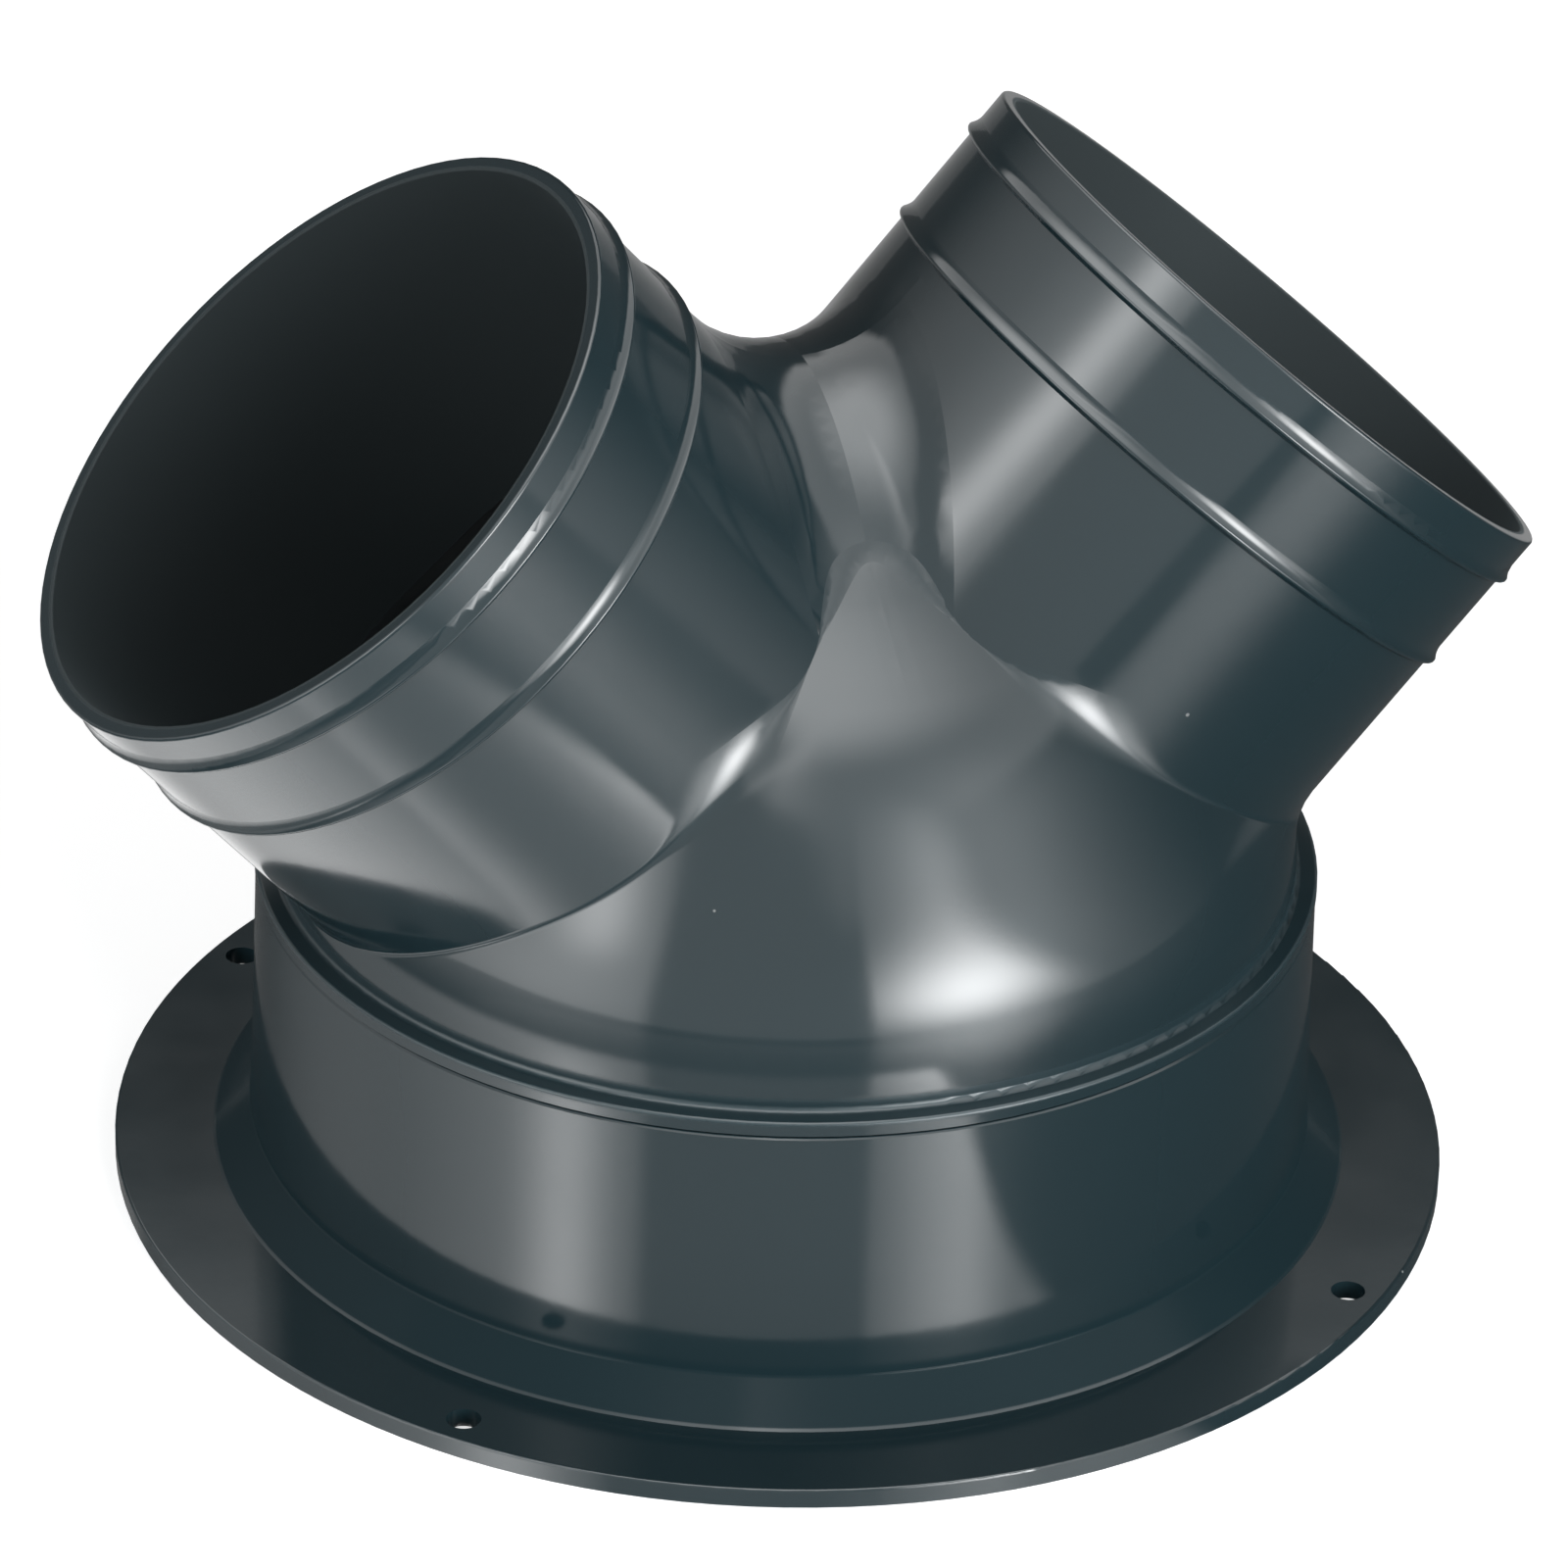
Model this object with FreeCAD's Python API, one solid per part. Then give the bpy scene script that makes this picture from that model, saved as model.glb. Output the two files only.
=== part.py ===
import FreeCAD, Part
import math
import os

os.makedirs("parts", exist_ok=True)

# Millimetres. Origin at the middle of the flange's underside, +Z up, both branch tubes in the XZ plane.

# Flange, with the raised ring that stiffens the foot of the collar
flange_diameter = 198.2
flange_thickness = 2.9
flange_edge_round = 0.35
bolt_margin = 5.1
bolt_hole_diameter = 5.0
bolt_count = 4
first_bolt_angle = 42.3
ramp_foot_diameter = 169.0
ramp_width = 5.6

# Collar standing on the flange; its outside narrows a little upwards for the mould, and its
# bore widens at the top into a socket that ends just below the spigot
collar_height = 47.4
collar_draft = 1.35
collar_wall = 3.55
socket_step = 0.6
socket_relief = 0.3
collar_edge_chamfer = 0.3
collar_foot_round = 0.6

# Joint between the two mouldings: the foot ring stands on the collar and leaves a shadow gap
joint_gap = 0.45
foot_ring_width = 1.1
spigot_clearance = 0.15
spigot_depth = 12.0

# Rim of the branch piece, and the ledge around the dome's upright wall
rim_height = 2.1
rim_overhang = 0.15
rim_round = 0.5
ledge_width = 3.23
ledge_cove = 0.8
wall = 2.2
dome_wall_height = 1.5

# Above its wall the dome rises by this much and a share of the tubes' diameter
dome_rise = 28.4
dome_share = 0.4

# Branch tubes, their axes crossing this far below the collar's top; beads measured down from the mouth
branch_tilt = 41.06
branch_length = 110.0
branch_drop = 3.7
tube_diameter = 100.0
tube_wall = 2.0
band_step = 0.2
neck_step = 0.25
lip_outer_round = 0.45
lip_inner_round = 0.3
bead_depths = (6.9, 22.6)
bead_rise = 0.75
bead_flank = 0.75
bead_cove = 2.2
bead_nose = 0.13
plain_below_bead = 3.0

# Blends: the valley between the tubes takes this share of their plain length above it, and the
# round at the crown, less by a share of the room between tube and dome wall, narrows to the creases' round
crotch_share = 0.85
crown_share = 0.24
crease_round = 1.0

# How far a cutting tool runs past a face, and how near two surfaces are that touch
overrun = 1.0
touch = 0.01


def vector(x, y, z):
    return FreeCAD.Vector(x, y, z)


def line(a, b):
    return Part.makeLine(vector(a[0], 0, a[1]), vector(b[0], 0, b[1]))


def bow(a, b, bulge):
    """Arc from a to b whose middle stands off the chord by bulge, to the left going from a to b."""
    dx = b[0] - a[0]
    dz = b[1] - a[1]
    chord = math.hypot(dx, dz)
    mid = vector((a[0] + b[0]) / 2 - dz / chord * bulge, 0, (a[1] + b[1]) / 2 + dx / chord * bulge)
    return Part.Arc(vector(a[0], 0, a[1]), mid, vector(b[0], 0, b[1])).toShape()


def turned(edges):
    """Solid of revolution about Z from a closed chain of edges in the XZ plane."""
    face = Part.Face(Part.Wire(edges))
    solid = face.revolve(vector(0, 0, 0), vector(0, 0, 1), 360)
    return solid.Solids[0] if solid.Solids else Part.Solid(solid)


def chain(points):
    """Closed chain of edges; an entry (x, z, bulge) makes the edge that ends there an arc."""
    edges = []
    for before, here in zip(points, points[1:] + points[:1]):
        if len(here) == 3:
            edges.append(bow(before, here, here[2]))
        else:
            edges.append(line(before, here))
    return edges


def quarter(radius):
    """How far the middle of a quarter round stands off its chord."""
    return radius * (1 - math.sqrt(0.5))


def collar_foot_radius():
    """Outside of the collar where the ramp meets it."""
    return ramp_foot_diameter / 2 - ramp_width


def collar_top_radius():
    """Outside of the collar at its top."""
    lean = math.tan(math.radians(collar_draft))
    return collar_foot_radius() - (collar_height - flange_thickness - ramp_width) * lean


def rim_top():
    return collar_height + joint_gap + rim_height


def dome_wall_radius():
    return collar_top_radius() + rim_overhang - ledge_width


def flange_and_collar():
    rf = flange_diameter / 2
    e = flange_edge_round
    base = collar_foot_radius()
    ramp_top = flange_thickness + ramp_width
    lean = math.tan(math.radians(collar_draft))
    top = collar_top_radius()
    c = collar_edge_chamfer
    bore = base - collar_wall
    socket = bore + socket_step
    socket_floor = collar_height - spigot_depth - socket_relief
    turn = math.radians(45 - collar_draft) / 2
    reach = collar_foot_round * math.tan(turn)
    bulge = collar_foot_round * (1 - math.cos(turn))
    points = [
        (bore, 0),
        (rf, 0),
        (rf, flange_thickness - e),
        (rf - e, flange_thickness, -quarter(e)),
        (ramp_foot_diameter / 2, flange_thickness),
        (base + reach * math.sqrt(0.5), ramp_top - reach * math.sqrt(0.5)),
        (base - reach * lean, ramp_top + reach, bulge),
        (top, collar_height - c),
        (top - c, collar_height),
        (socket, collar_height),
        (socket, socket_floor),
        (bore, socket_floor),
    ]
    solid = turned(chain(points))
    for k in range(bolt_count):
        angle = math.radians(first_bolt_angle + 360.0 * k / bolt_count)
        spot = vector((rf - bolt_margin) * math.cos(angle), (rf - bolt_margin) * math.sin(angle), -overrun)
        drill = Part.makeCylinder(bolt_hole_diameter / 2, ramp_top + 2 * overrun, spot)
        solid = solid.cut(drill)
    return solid


def crown(inset):
    """Dome profile from the top of its upright wall to the axis, as flank and cap, moved inwards by inset.

    The corners are shares of the wall's radius and of the dome's rise, which the cap ends a little above."""
    r = dome_wall_radius()
    z0 = rim_top() + dome_wall_height
    h = dome_rise + dome_share * tube_diameter
    flank = [(1.0, 0.0), (0.982, 0.144), (0.930, 0.277), (0.851, 0.415), (0.787, 0.524)]
    cap = [(0.691, 0.646), (0.597, 0.725), (0.479, 0.823), (0.337, 0.939), (0.176, 1.018), (0.0, 1.034)]
    shape = [(a * r, b * h) for a, b in flank + cap]
    slopes = [(after[0] - before[0], after[1] - before[1]) for before, after in zip(shape, shape[2:])]
    points = []
    for (x, z), (dx, dz) in zip(shape, [(0.0, 1.0)] + slopes + [(-1.0, 0.0)]):
        size = math.hypot(dx, dz)
        points.append(vector(max(x - inset * dz / size, 0), 0, z0 + z + inset * dx / size))
    curve = Part.BSplineCurve()
    curve.interpolate(points, InitialTangent=vector(0, 0, 1), FinalTangent=vector(-1, 0, 0))
    corner = curve.parameter(points[len(flank) - 1])
    return [curve.toShape(curve.FirstParameter, corner), curve.toShape(corner, curve.LastParameter)]


def dome(inset, bottom):
    """Solid dome: upright wall from bottom, then the crown."""
    curves = crown(inset)
    start = curves[0].Vertexes[0].Point
    peak = curves[-1].Vertexes[-1].Point
    edges = [line((0, bottom), (start.x, bottom)), line((start.x, bottom), (start.x, start.z))]
    edges += curves + [line((0, peak.z), (0, bottom))]
    return turned(edges)


def bead(below, above, z):
    """Corners of one bead from its base side to its mouth side, z at the crest."""
    shoulder = above + bead_rise - bead_nose
    return [
        (below, z - bead_flank),
        (shoulder, z - 2 * bead_nose),
        (shoulder + bead_nose / 4, z + 2.5 * bead_nose, -bead_nose),
        (above, z + bead_cove, 1.2 * bead_nose),
    ]


def plain_length():
    """How far up its axis a branch tube is a plain cylinder."""
    return branch_length - bead_depths[1] - plain_below_bead


def tube(side):
    """Outside of one branch tube, solid, from below its lower bead to the mouth."""
    r = tube_diameter / 2
    band = r + band_step
    neck = band + neck_step
    e = lip_outer_round
    points = [(0, plain_length()), (r, plain_length())]
    points += bead(r, band, branch_length - bead_depths[1])
    points += bead(band, neck, branch_length - bead_depths[0])
    points += [(neck, branch_length - e), (neck - e, branch_length, -quarter(e)), (0, branch_length)]
    return placed(turned(chain(points)), side)


def bore(side):
    """Inside of one branch tube, flared at the lip."""
    r = tube_diameter / 2 - tube_wall
    e = lip_inner_round
    points = [
        (0, 0),
        (r, 0),
        (r, branch_length - e),
        (r + e, branch_length, quarter(e)),
        (r + e, branch_length + overrun),
        (0, branch_length + overrun),
    ]
    return placed(turned(chain(points)), side)


def placed(solid, side):
    solid.rotate(vector(0, 0, 0), vector(0, 1, 0), side * branch_tilt)
    solid.translate(vector(0, 0, collar_height - branch_drop))
    return solid


def crotch_round():
    """Radius of the valley between the tubes, from the plain length that the valley leaves above it."""
    lean = math.tan(math.radians(branch_tilt))
    return crotch_share * (plain_length() * lean - tube_diameter / 2)


def crown_round():
    """Radius of the blend at the crown."""
    return crotch_round() - crown_share * (dome_wall_radius() - tube_diameter / 2)


def crotch(inset):
    """The two crossing cylinders above the ledge, with the rolling round that fills the valley."""
    radius = tube_diameter / 2 - inset
    pair = None
    for side in (-1, 1):
        rod = placed(Part.makeCylinder(radius, plain_length()), side)
        pair = rod if pair is None else pair.fuse(rod)
    reach = 4 * branch_length
    pair = pair.cut(Part.makeBox(reach, reach, reach, vector(-reach / 2, -reach / 2, rim_top() - reach)))
    pair = pair.removeSplitter()
    edges = []
    for edge in pair.Edges:
        box = edge.BoundBox
        if max(abs(box.XMin), abs(box.XMax)) < touch and box.ZLength > radius / 10:
            edges.append(edge)
    return pair.makeFillet(crotch_round() + inset, edges)


def creases(joined, first, second):
    """Numbers and edges of a fused shape that lie on the skins of both shapes it was made from."""
    found = []
    for k, edge in enumerate(joined.Edges):
        box = edge.BoundBox
        if min(box.XLength, box.YLength, box.ZLength) < touch:
            continue
        middle = Part.Vertex(edge.valueAt((edge.FirstParameter + edge.LastParameter) / 2))
        if max(skin.distToShape(middle)[0] for skin in (first.Shells[0], second.Shells[0])) < touch:
            found.append((k + 1, edge))
    return found


def crown_blend(joined, first, second):
    """Rounds the crease between dome and tubes, widest at the crown; worked on one quarter and mirrored."""
    reach = 4 * branch_length
    quarter_body = joined.common(Part.makeBox(reach, reach, reach, vector(0, -reach, 0))).Solids[0]
    flank_top = crown(0)[0].Vertexes[-1].Z
    widest = crown_round()
    spans = []
    for number, edge in creases(quarter_body, first, second):
        box = edge.BoundBox
        if box.XMin < touch:
            spans.append((number, widest, widest))
        elif box.ZMin > flank_top - touch:
            spans.append((number, widest, crease_round))
        else:
            spans.append((number, crease_round, crease_round))
    doc = FreeCAD.newDocument("blend")
    base = doc.addObject("Part::Feature", "base")
    base.Shape = quarter_body
    rolled = doc.addObject("Part::Fillet", "rolled")
    rolled.Base = base
    rolled.Edges = spans
    doc.recompute()
    half = rolled.Shape.fuse(rolled.Shape.mirror(vector(0, 0, 0), vector(0, 1, 0)))
    whole = half.fuse(half.mirror(vector(0, 0, 0), vector(1, 0, 0)))
    return whole.removeSplitter()


def branch_body():
    top = rim_top()
    body = dome(0, top)
    pair = crotch(0)
    outer = crown_blend(body.fuse(pair).removeSplitter(), body, pair)
    for side in (-1, 1):
        outer = outer.fuse(tube(side))
    outer = outer.removeSplitter()

    spigot = collar_foot_radius() - collar_wall + socket_step - spigot_clearance
    outside = dome_wall_radius()
    inner = outside - wall
    rim = outside + ledge_width
    e = rim_round
    low = collar_height + joint_gap
    points = [
        (inner - overrun, collar_height - spigot_depth),
        (spigot, collar_height - spigot_depth),
        (spigot, collar_height),
        (spigot + foot_ring_width, collar_height),
        (spigot + foot_ring_width, low),
        (rim, low),
        (rim, top - e),
        (rim - e, top, -quarter(e)),
        (outside + ledge_cove, top),
        (outside, top + ledge_cove, quarter(ledge_cove)),
        (inner - overrun, top + ledge_cove),
    ]
    solid = outer.fuse(turned(chain(points)))

    void = dome(wall, collar_height - spigot_depth - overrun)
    void = void.fuse(crotch(tube_wall))
    for side in (-1, 1):
        void = void.fuse(bore(side))
    return solid.cut(void)


def single(shape):
    """The one solid of a shape."""
    if len(shape.Solids) != 1:
        raise ValueError("expected one solid, found %d" % len(shape.Solids))
    return shape.Solids[0]


pieces = {
    "flange_collar": single(flange_and_collar()),
    "branch_body": single(branch_body()),
}
for name, shape in pieces.items():
    if not shape.isValid():
        raise ValueError(name + " is not valid")
    shape.exportStep(os.path.join("parts", name + ".step"))
    box = shape.BoundBox
    print(name, "faces", len(shape.Faces), "volume", round(shape.Volume), "box",
          [round(v, 2) for v in (box.XMin, box.YMin, box.ZMin, box.XMax, box.YMax, box.ZMax)])
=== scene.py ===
import bpy
import math
import numpy as np
from mathutils import Matrix, Vector


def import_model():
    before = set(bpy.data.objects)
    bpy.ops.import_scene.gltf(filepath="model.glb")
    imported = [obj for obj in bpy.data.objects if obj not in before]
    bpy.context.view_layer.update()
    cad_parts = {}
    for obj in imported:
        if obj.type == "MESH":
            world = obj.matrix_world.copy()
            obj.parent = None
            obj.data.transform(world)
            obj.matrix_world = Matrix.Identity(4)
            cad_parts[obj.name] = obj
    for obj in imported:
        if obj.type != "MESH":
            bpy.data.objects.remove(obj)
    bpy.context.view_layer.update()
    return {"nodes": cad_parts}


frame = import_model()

# Camera, fitted to the photograph: its place in metres in the part's own frame, and the ways right and up;
# lens and sensor in millimetres
camera_place = Vector((-0.36717, -0.98455, 0.64808))
camera_right = Vector((0.94191, -0.33482, 0.02647))
camera_up = Vector((0.14181, 0.46790, 0.87232))
camera_lens = 188.68
camera_sensor = 36.0
camera_far = 100.0

# Plastic: linear colours, lengths in metres, and noise scales per metre with their detail. Gloss is the range
# of roughness that the middle of its noise runs through
shade_dark = (0.0098, 0.0235, 0.0290)
shade_light = (0.0128, 0.0285, 0.0350)
shade_noise = (14.0, 3.0)
gloss = (0.085, 0.125)
gloss_noise = (45.0, 4.0)
gloss_middle = (0.3, 0.7)
wave_noise = (30.0, 1.0)
wave_height = 0.00006
grain_noise = (900.0, 2.0)
grain_height = 0.000002
dust_scale = 95.0
dust_share = (0.90, 0.92)
dust_size = (0.018, 0.035)
dust_shade = (0.30, 0.31, 0.31)
dust_dull = 0.5
plain_specular = 0.5

# Sloped ring at the collar's foot, duller than the rest
ring_low = (0.0031, 0.0034)
ring_high = (0.0090, 0.0110)
ring_specular = 0.06

# Ledge between rim and dome, a little duller
ledge_low = (0.0490, 0.0496)
ledge_high = (0.0516, 0.0526)
ledge_dull = 0.22

# Branch tubes' axes, and the dull bores round them, which start a little inside the skin. The bores' walls
# get painted light: a lighter, greyer colour than the outside plastic
branch_tilt = math.radians(41.06)
branch_foot = 0.0437
bore_edge = (-0.0016, -0.0012)
bore_top = (0.0980, 0.1020)
bore_painted_light = (0.034, 0.043, 0.046)
bore_dull = 0.45
bore_specular = 0.12

# Dome and tubes meet in a crisp line. The dome's curve is fitted between its own heights, clear of the tubes;
# the line's half width grows between two heights, and the line starts, ends and reaches out softly
tube_radius = 0.050
dome_low = 0.0516
dome_high = 0.1000
dome_clear = 0.0600
dome_terms = 5
crease_round = (0.0006, 0.0048)
crease_widens = (0.080, 0.096)
crease_from = (0.0517, 0.0524)
crease_to = (0.0930, 0.1010)
crease_reach = (0.0070, 0.0100)
crease_skin = (-0.0010, -0.0006)

# Studio as gloss sees it, with 1 as white; angles in degrees, azimuth 0 at the front and + to the right.
# The walls are pale towards the front left and dim behind; the ceiling's edge climbs from right to left
pale_side = (-0.574, -0.819, 0.0)
wall_front = 1.18
wall_back = 0.12
wall_turn = (-0.65, 0.15)
ceiling_glow = 2.1
ceiling_from = 31.0
ceiling_slant = 0.45
ceiling_turn = (-50.0, -5.0)
ceiling_return = (-170.0, -110.0)
ceiling_blur = 6.0
zenith_glow = 4.0
zenith_from = (50.0, 80.0)

# Diffusing sheets in front of the lights: edges (angle, blur), and the bright spots inside them, each
# (azimuth, elevation, spread across, spread upright, glow). The right sheet's far edge slants: (slant, angle,
# blur), and a haze without that edge lies over it
left_sheet_edge = (-49.0, 5.0)
left_sheet = [(-70.0, 12.0, 30.0, 30.0, 3.4), (-66.0, 31.0, 9.0, 9.0, 5.8)]
left_sheet_top = (38.0, 4.0)
right_sheet_edge = (-1.0, 3.0)
right_sheet_slant = (0.9, 53.0, 14.0)
right_sheet = (21.0, 14.5, 18.0, 13.5, 20.0)
right_haze = (33.0, 22.0, 21.0, 20.0, 2.3)
top_sheet_edge = (-27.0, 9.0)
top_sheet = (-24.0, 62.0, 11.0, 18.0, 2.2)
top_sheet_low = (40.0, 6.0)

# The same lights as matt surfaces see them: azimuths and elevations of their edges, and glow
left_lamp = (-95.0, -50.0, 2.0, 36.0, 2.6)
right_lamp = (-1.0, 44.0, 2.0, 30.0, 7.5)
fill_glow = 0.32
lamp_distance = 2.0
lamp_height = 0.09

# Table, in metres: white to the camera. Gloss sees light and shade painted into the table's colour: a pale
# patch that falls into painted shade, a pale far side, and polish near the part, left of a line
table_half = 6.0
table_white = 0.92
table_lift = 0.62
patch_centre = (-0.24, -0.46, 0.0)
patch_reach = (0.385, 0.44)
patch_dim = 0.06
far_side = (0.10, 0.20)
far_painted_light = 0.70
patch_painted_light = 0.46
table_roughness = 0.25
table_specular = 0.25
mirror_roughness = 0.06
polish = 0.62
polish_reach = (0.21, 0.25)
polish_side = (0.026, 0.035)


def camera():
    """The photograph's camera."""
    data = bpy.data.cameras.new("camera")
    data.lens = camera_lens
    data.sensor_width = camera_sensor
    data.clip_end = camera_far
    item = bpy.data.objects.new("camera", data)
    back = camera_right.cross(camera_up)
    turn = Matrix((camera_right, camera_up, back)).transposed()
    item.matrix_world = Matrix.Translation(camera_place) @ turn.to_4x4()
    bpy.context.scene.collection.objects.link(item)
    bpy.context.scene.camera = item


def math_node(tree, operation, first, second):
    """Math node on two values, each a socket to link or a number."""
    node = tree.nodes.new("ShaderNodeMath")
    node.operation = operation
    for socket, value in zip(node.inputs, (first, second)):
        if isinstance(value, (int, float)):
            socket.default_value = value
        else:
            tree.links.new(value, socket)
    return node.outputs[0]


def ramp(tree, value, low, high, start, end):
    """Smooth step of a value from start at low to end at high."""
    node = tree.nodes.new("ShaderNodeMapRange")
    node.interpolation_type = "SMOOTHSTEP"
    node.inputs["From Min"].default_value = low
    node.inputs["From Max"].default_value = high
    node.inputs["To Min"].default_value = start
    node.inputs["To Max"].default_value = end
    tree.links.new(value, node.inputs["Value"])
    return node.outputs["Result"]


def node_of(tree, kind, **sockets):
    """Node with some of its sockets set; spaces in their names are written as underscores."""
    node = tree.nodes.new(kind)
    for name, value in sockets.items():
        node.inputs[name.replace("_", " ")].default_value = value
    return node


def mixed(tree, share, first, second):
    """One shader passing into another by a share."""
    mix = tree.nodes.new("ShaderNodeMixShader")
    tree.links.new(share, mix.inputs[0])
    tree.links.new(first, mix.inputs[1])
    tree.links.new(second, mix.inputs[2])
    return mix.outputs[0]


def parted(tree, way):
    """The three values of a vector, by name."""
    node = tree.nodes.new("ShaderNodeSeparateXYZ")
    tree.links.new(way, node.inputs[0])
    return node.outputs


def total(tree, values):
    """Sum of several sockets."""
    result = values[0]
    for value in values[1:]:
        result = math_node(tree, "ADD", result, value)
    return result


def product(tree, values):
    """Product of several sockets."""
    result = values[0]
    for value in values[1:]:
        result = math_node(tree, "MULTIPLY", result, value)
    return result


def noise(tree, place, scale, detail):
    """Noise between 0 and 1."""
    node = node_of(tree, "ShaderNodeTexNoise", Scale=scale, Detail=detail)
    tree.links.new(place, node.inputs["Vector"])
    return node.outputs["Fac"]


def blend(tree, share, first, second):
    """One colour passing into another by a share."""
    node = tree.nodes.new("ShaderNodeMix")
    node.data_type = "RGBA"
    tree.links.new(share, node.inputs["Factor"])
    for name, value in (("A", first), ("B", second)):
        socket = [s for s in node.inputs if s.name == name and s.type == "RGBA"][0]
        if isinstance(value, tuple):
            socket.default_value = (*value, 1.0)
        else:
            tree.links.new(value, socket)
    return [s for s in node.outputs if s.type == "RGBA"][0]


def vector(tree, operation, first, second=None):
    """Vector maths on two vectors, each a socket to link or three numbers."""
    node = tree.nodes.new("ShaderNodeVectorMath")
    node.operation = operation
    for socket, value in zip(node.inputs, (first, second)):
        if isinstance(value, tuple):
            socket.default_value = value
        elif value is not None:
            tree.links.new(value, socket)
    single = operation in ("DOT_PRODUCT", "LENGTH", "DISTANCE")
    return node.outputs["Value" if single else "Vector"]


def scaled(tree, way, size):
    """A vector times a number."""
    node = tree.nodes.new("ShaderNodeVectorMath")
    node.operation = "SCALE"
    tree.links.new(way, node.inputs[0])
    tree.links.new(size, node.inputs["Scale"])
    return node.outputs["Vector"]


def joined(tree, *parts):
    """Vector of three values, each a socket to link or a number."""
    node = tree.nodes.new("ShaderNodeCombineXYZ")
    for socket, value in zip(node.inputs, parts):
        if isinstance(value, (int, float)):
            socket.default_value = value
        else:
            tree.links.new(value, socket)
    return node.outputs[0]


def between(tree, share, first, second):
    """One vector passing into another by a share."""
    node = tree.nodes.new("ShaderNodeMix")
    node.data_type = "VECTOR"
    tree.links.new(share, node.inputs["Factor"])
    ends = [socket for socket in node.inputs if socket.type == "VECTOR" and socket.name in ("A", "B")]
    tree.links.new(first, ends[0])
    tree.links.new(second, ends[1])
    return [socket for socket in node.outputs if socket.type == "VECTOR"][0]


def tube(tree, parts):
    """Distance outside the nearer branch tube, and the way out from its axis."""
    side = math_node(tree, "SIGN", parts["X"], 0.0)
    toward = (math.sin(branch_tilt), 0.0, math.cos(branch_tilt))
    from_foot = joined(tree, math_node(tree, "ABSOLUTE", parts["X"], 0.0), parts["Y"],
                       math_node(tree, "SUBTRACT", parts["Z"], branch_foot))
    along = vector(tree, "DOT_PRODUCT", from_foot, toward)
    out = vector(tree, "SUBTRACT", from_foot, scaled(tree, joined(tree, *toward), along))
    away = math_node(tree, "SUBTRACT", vector(tree, "LENGTH", out), tube_radius)
    return away, vector(tree, "NORMALIZE", vector(tree, "MULTIPLY", out, joined(tree, side, 1.0, 1.0)))


def dome_curve():
    """Polynomial of the dome's radius over its height, fitted to the vertices that are clear of the tubes."""
    item = bpy.data.objects["branch_body"]
    sine, cosine = math.sin(branch_tilt), math.cos(branch_tilt)
    heights, radii = [], []
    for vertex in item.data.vertices:
        x, y, z = vertex.co
        across = abs(x) * cosine - (z - branch_foot) * sine
        outside = x * vertex.normal.x + y * vertex.normal.y > 0
        if dome_low < z < dome_high and math.hypot(across, y) > dome_clear and outside:
            heights.append((z - dome_low) / (dome_high - dome_low))
            radii.append(math.hypot(x, y))
    return np.polynomial.Polynomial.fit(heights, radii, dome_terms, domain=(0, 1), window=(0, 1))


def horner(tree, curve, value):
    """A polynomial's value, as nodes."""
    result = float(curve.coef[-1])
    for number in reversed(curve.coef[:-1]):
        result = math_node(tree, "ADD", math_node(tree, "MULTIPLY", value, result), float(number))
    return result


def dome(tree, parts):
    """Distance outside the dome, and the way out from it."""
    curve = dome_curve()
    share = math_node(tree, "DIVIDE", math_node(tree, "SUBTRACT", parts["Z"], dome_low), dome_high - dome_low)
    radius = horner(tree, curve, share)
    lean = math_node(tree, "DIVIDE", horner(tree, curve.deriv(), share), dome_low - dome_high)
    flat = joined(tree, parts["X"], parts["Y"], 0.0)
    away = vector(tree, "LENGTH", flat)
    leaning = vector(tree, "ADD", vector(tree, "NORMALIZE", flat), joined(tree, 0.0, 0.0, lean))
    out = vector(tree, "NORMALIZE", leaning)
    slant = math_node(tree, "SQRT", math_node(tree, "ADD", math_node(tree, "MULTIPLY", lean, lean), 1.0), 0.0)
    return math_node(tree, "DIVIDE", math_node(tree, "SUBTRACT", away, radius), slant), out


def creased(tree, coordinates):
    """Normal with a steady dome that meets the tubes in a crisp line below the crown."""
    parts = parted(tree, coordinates.outputs["Object"])
    tube_away, tube_out = tube(tree, parts)
    dome_away, dome_out = dome(tree, parts)
    width = ramp(tree, parts["Z"], *crease_widens, *crease_round)
    side = math_node(tree, "DIVIDE", math_node(tree, "SUBTRACT", tube_away, dome_away), width)
    side = ramp(tree, side, -1.0, 1.0, 0.0, 1.0)
    out = vector(tree, "NORMALIZE", between(tree, side, tube_out, dome_out))
    skin = math_node(tree, "MINIMUM", tube_away, dome_away)
    share = product(tree, [ramp(tree, parts["Z"], *crease_from, 0.0, 1.0),
                           ramp(tree, parts["Z"], *crease_to, 1.0, 0.0),
                           ramp(tree, dome_away, *crease_reach, 1.0, 0.0),
                           ramp(tree, skin, *crease_skin, 0.0, 1.0)])
    mix = between(tree, share, coordinates.outputs["Normal"], out)
    turn = tree.nodes.new("ShaderNodeVectorTransform")
    turn.vector_type = "NORMAL"
    turn.convert_from = "OBJECT"
    turn.convert_to = "WORLD"
    tree.links.new(mix, turn.inputs[0])
    under = math_node(tree, "MULTIPLY", ramp(tree, dome_away, *bore_edge, 1.0, 0.0),
                      ramp(tree, parts["Z"], *bore_top, 1.0, 0.0))
    inside = math_node(tree, "MAXIMUM", ramp(tree, tube_away, *bore_edge, 1.0, 0.0), under)
    return turn.outputs[0], inside


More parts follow.
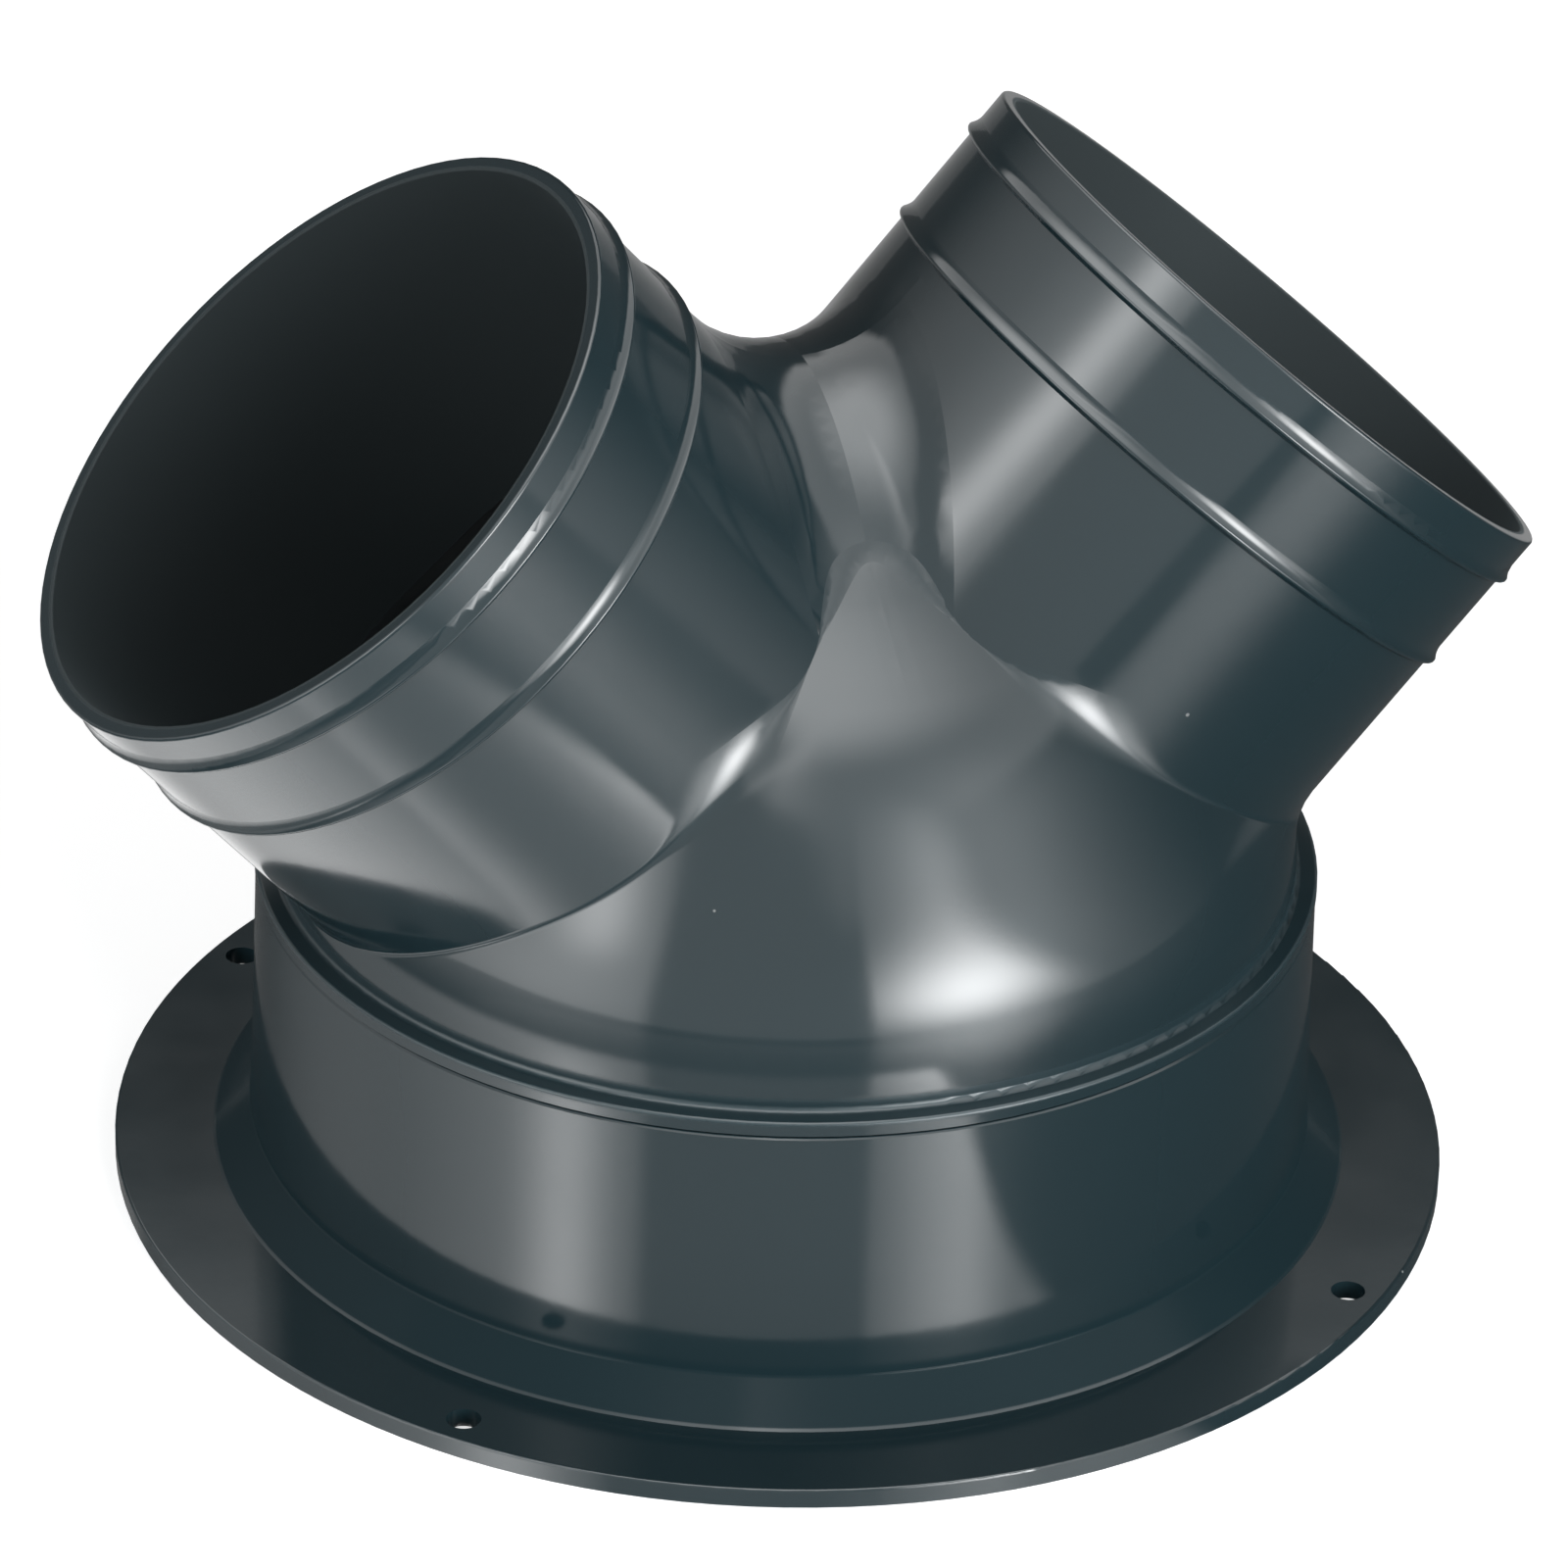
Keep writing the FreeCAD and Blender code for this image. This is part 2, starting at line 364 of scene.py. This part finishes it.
def specks(tree, place):
    """Dust: small spots in some of the cells."""
    node = node_of(tree, "ShaderNodeTexVoronoi", Scale=dust_scale)
    tree.links.new(place, node.inputs["Vector"])
    split = tree.nodes.new("ShaderNodeSeparateColor")
    tree.links.new(node.outputs["Color"], split.inputs[0])
    few = ramp(tree, split.outputs[0], *dust_share, 0.0, 1.0)
    return math_node(tree, "MULTIPLY", few, ramp(tree, node.outputs["Distance"], *dust_size, 1.0, 0.0))


def zone(tree, place, low, high, value):
    """Value between two heights, each given with the end of its soft edge, and 0 elsewhere."""
    height = parted(tree, place)["Z"]
    above = ramp(tree, height, *low, 0.0, value)
    return math_node(tree, "MULTIPLY", above, ramp(tree, height, *high, 1.0, 0.0))


def plastic(node):
    """Glossy moulded plastic: faint waves, small changes of polish and shade, and a few specks of dust."""
    material = bpy.data.materials.new(node + "_plastic")
    material.use_nodes = True
    tree = material.node_tree
    shader = tree.nodes["Principled BSDF"]
    coordinates = tree.nodes.new("ShaderNodeTexCoord")
    place = coordinates.outputs["Object"]
    dust = specks(tree, place)
    shade = blend(tree, noise(tree, place, *shade_noise), shade_dark, shade_light)
    rough = ramp(tree, noise(tree, place, *gloss_noise), *gloss_middle, *gloss)
    waves = math_node(tree, "MULTIPLY", noise(tree, place, *wave_noise), wave_height)
    grain = math_node(tree, "MULTIPLY", noise(tree, place, *grain_noise), grain_height)
    height = math_node(tree, "ADD", waves, grain)
    bump = node_of(tree, "ShaderNodeBump", Strength=1.0, Distance=1.0)
    if node == "flange_collar":
        ring = zone(tree, place, ring_low, ring_high, 1.0)
        shine = ramp(tree, ring, 0.0, 1.0, plain_specular, ring_specular)
        tree.links.new(shine, shader.inputs["Specular IOR Level"])
    if node == "branch_body":
        normal, inside = creased(tree, coordinates)
        tree.links.new(normal, bump.inputs["Normal"])
        # Painted light: the bores' inner walls take a lighter, greyer colour than the outside plastic
        shade = blend(tree, inside, shade, bore_painted_light)
        dulled = math_node(tree, "ADD", math_node(tree, "MULTIPLY", inside, bore_dull),
                           zone(tree, place, ledge_low, ledge_high, ledge_dull))
        rough = math_node(tree, "ADD", rough, dulled)
        shine = ramp(tree, inside, 0.0, 1.0, plain_specular, bore_specular)
        tree.links.new(shine, shader.inputs["Specular IOR Level"])
    tree.links.new(blend(tree, dust, shade, dust_shade), shader.inputs["Base Color"])
    rough = math_node(tree, "ADD", rough, math_node(tree, "MULTIPLY", dust, dust_dull))
    tree.links.new(rough, shader.inputs["Roughness"])
    tree.links.new(height, bump.inputs["Height"])
    tree.links.new(bump.outputs[0], shader.inputs["Normal"])
    return material


def dress():
    """Plastic on each of the part's nodes."""
    for node in frame["nodes"]:
        item = bpy.data.objects.get(node)
        if item:
            for slot in item.material_slots:
                slot.material = plastic(node)


def floor():
    """Table under the part."""
    mesh = bpy.data.meshes.new("floor")
    corners = [(x * table_half, y * table_half, 0) for x, y in ((-1, -1), (1, -1), (1, 1), (-1, 1))]
    mesh.from_pydata(corners, [], [(0, 1, 2, 3)])
    item = bpy.data.objects.new("floor", mesh)
    bpy.context.scene.collection.objects.link(item)
    material = bpy.data.materials.new("floor")
    material.use_nodes = True
    tree = material.node_tree
    white = (table_white, table_white, table_white, 1.0)
    path = tree.nodes.new("ShaderNodeLightPath")
    place = tree.nodes.new("ShaderNodeNewGeometry").outputs["Position"]
    matt = node_of(tree, "ShaderNodeBsdfDiffuse", Color=white)
    lift = node_of(tree, "ShaderNodeEmission", Strength=table_lift)
    both = tree.nodes.new("ShaderNodeAddShader")
    tree.links.new(matt.outputs[0], both.inputs[0])
    tree.links.new(lift.outputs[0], both.inputs[1])
    # Painted light and shade in the table's colour, which only gloss sees: a pale patch falling into shade,
    # and a pale far side
    shade = ramp(tree, vector(tree, "DISTANCE", place, patch_centre), *patch_reach, patch_painted_light, patch_dim)
    parts = parted(tree, place)
    shade = math_node(tree, "MAXIMUM", shade, ramp(tree, parts["Y"], *far_side, 0.0, far_painted_light))
    table = tree.nodes["Principled BSDF"]
    table.inputs["Roughness"].default_value = table_roughness
    table.inputs["Specular IOR Level"].default_value = table_specular
    grey = tree.nodes.new("ShaderNodeCombineColor")
    for socket in grey.inputs:
        if socket.name in ("Red", "Green", "Blue"):
            tree.links.new(shade, socket)
    tree.links.new(grey.outputs[0], table.inputs["Base Color"])
    mirror = node_of(tree, "ShaderNodeBsdfGlossy", Color=(1, 1, 1, 1), Roughness=mirror_roughness)
    near = ramp(tree, vector(tree, "DISTANCE", place, (0.0, 0.0, 0.0)), *polish_reach, polish, 0.0)
    share = math_node(tree, "MULTIPLY", near, ramp(tree, parts["X"], *polish_side, 1.0, 0.0))
    polished = mixed(tree, share, table.outputs[0], mirror.outputs[0])
    gloss_side = mixed(tree, path.outputs["Is Glossy Ray"], matt.outputs[0], polished)
    whole = mixed(tree, path.outputs["Is Camera Ray"], gloss_side, both.outputs[0])
    tree.links.new(whole, tree.nodes["Material Output"].inputs["Surface"])
    mesh.materials.append(material)


def background(tree, strength):
    """White sky of some strength, a socket to link or a number."""
    node = tree.nodes.new("ShaderNodeBackground")
    node.inputs["Color"].default_value = (1, 1, 1, 1)
    if isinstance(strength, (int, float)):
        node.inputs["Strength"].default_value = strength
    else:
        tree.links.new(strength, node.inputs["Strength"])
    return node.outputs[0]


def angle(tree, operation, first, second=0.0):
    """Inverse trigonometry in degrees."""
    return math_node(tree, "DEGREES", math_node(tree, operation, first, second), 0.0)


def step(tree, value, edge, rising=True):
    """1 on one side of an edge and 0 on the other, blurred over the edge's second number."""
    low = edge[0] - edge[1] / 2
    high = edge[0] + edge[1] / 2
    return ramp(tree, value, low, high, 0.0 if rising else 1.0, 1.0 if rising else 0.0)


def spot(tree, azimuth, elevation, shape):
    """Bright spot with soft falloff."""
    across, upright, wide, tall, glow = shape
    away = 0.0
    for value, middle, spread in ((azimuth, across, wide), (elevation, upright, tall)):
        part = math_node(tree, "DIVIDE", math_node(tree, "SUBTRACT", value, middle), spread)
        away = math_node(tree, "ADD", away, math_node(tree, "MULTIPLY", part, part))
    fall = math_node(tree, "EXPONENT", math_node(tree, "MULTIPLY", away, -1.0), 0.0)
    return math_node(tree, "MULTIPLY", fall, glow)


def studio(tree):
    """Brightness of the studio that gloss sees, by direction."""
    heading = tree.nodes.new("ShaderNodeTexCoord").outputs["Generated"]
    way = parted(tree, heading)
    azimuth = angle(tree, "ARCTAN2", way["X"], math_node(tree, "MULTIPLY", way["Y"], -1.0))
    elevation = angle(tree, "ARCSINE", way["Z"])
    wall = ramp(tree, vector(tree, "DOT_PRODUCT", heading, pale_side), *wall_turn, wall_back, wall_front)
    right = step(tree, azimuth, right_sheet_edge)
    climb = math_node(tree, "MAXIMUM", math_node(tree, "MINIMUM", azimuth, ceiling_turn[1]), ceiling_turn[0])
    climb = math_node(tree, "MULTIPLY", math_node(tree, "SUBTRACT", climb, ceiling_turn[1]), ceiling_slant)
    climb = math_node(tree, "MULTIPLY", climb, ramp(tree, azimuth, *ceiling_return, 0.0, 1.0))
    edge = (ceiling_from + ceiling_blur / 2, ceiling_blur)
    above = step(tree, math_node(tree, "ADD", elevation, climb), edge)
    lighter = math_node(tree, "SUBTRACT", ceiling_glow, wall)
    walls = math_node(tree, "ADD", wall, math_node(tree, "MULTIPLY", above, lighter))
    zenith = ramp(tree, elevation, *zenith_from, 0.0, zenith_glow)
    left_glow = total(tree, [spot(tree, azimuth, elevation, shape) for shape in left_sheet])
    left = product(tree, [left_glow, step(tree, azimuth, left_sheet_edge, False),
                          step(tree, elevation, left_sheet_top, False)])
    slant, limit, blur = right_sheet_slant
    slanted = math_node(tree, "ADD", azimuth, math_node(tree, "MULTIPLY", elevation, slant))
    front = product(tree, [spot(tree, azimuth, elevation, right_sheet), right,
                           step(tree, slanted, (limit, blur), False)])
    haze = product(tree, [spot(tree, azimuth, elevation, right_haze), right])
    top = product(tree, [spot(tree, azimuth, elevation, top_sheet), step(tree, azimuth, top_sheet_edge),
                         step(tree, elevation, top_sheet_low)])
    return total(tree, [walls, zenith, left, front, haze, top])


def world():
    """White to the camera, even on matt surfaces, and the studio in gloss."""
    sky = bpy.data.worlds.new("world")
    bpy.context.scene.world = sky
    sky.use_nodes = True
    tree = sky.node_tree
    tree.nodes.remove(tree.nodes["Background"])
    path = tree.nodes.new("ShaderNodeLightPath")
    shiny = mixed(tree, path.outputs["Is Glossy Ray"], background(tree, fill_glow),
                  background(tree, studio(tree)))
    clear = math_node(tree, "MAXIMUM", path.outputs["Is Camera Ray"], path.outputs["Is Transmission Ray"])
    seen = mixed(tree, clear, shiny, background(tree, 1.0))
    tree.links.new(seen, tree.nodes["World Output"].inputs["Surface"])


def softbox(name, left, right, low, high, glow):
    """Rectangular lamp between these directions seen from the part; the world shows it to gloss."""
    across = math.radians((left + right) / 2)
    up = math.radians((low + high) / 2)
    way = Vector((math.sin(across) * math.cos(up), -math.cos(across) * math.cos(up), math.sin(up)))
    data = bpy.data.lights.new(name, "AREA")
    data.shape = "RECTANGLE"
    data.size = 2 * lamp_distance * math.tan(math.radians(right - left) / 2) * math.cos(up)
    data.size_y = 2 * lamp_distance * math.tan(math.radians(high - low) / 2)
    data.energy = glow * math.pi * data.size * data.size_y
    item = bpy.data.objects.new(name, data)
    item.location = Vector((0, 0, lamp_height)) + way * lamp_distance
    item.rotation_euler = way.to_track_quat("Z", "Y").to_euler()
    item.visible_glossy = False
    bpy.context.scene.collection.objects.link(item)


def lamps():
    """The two lamps for matt surfaces."""
    softbox("lamp_left", *left_lamp)
    softbox("lamp_right", *right_lamp)


camera()
floor()
world()
lamps()
dress()
bpy.context.scene.view_settings.view_transform = "Standard"
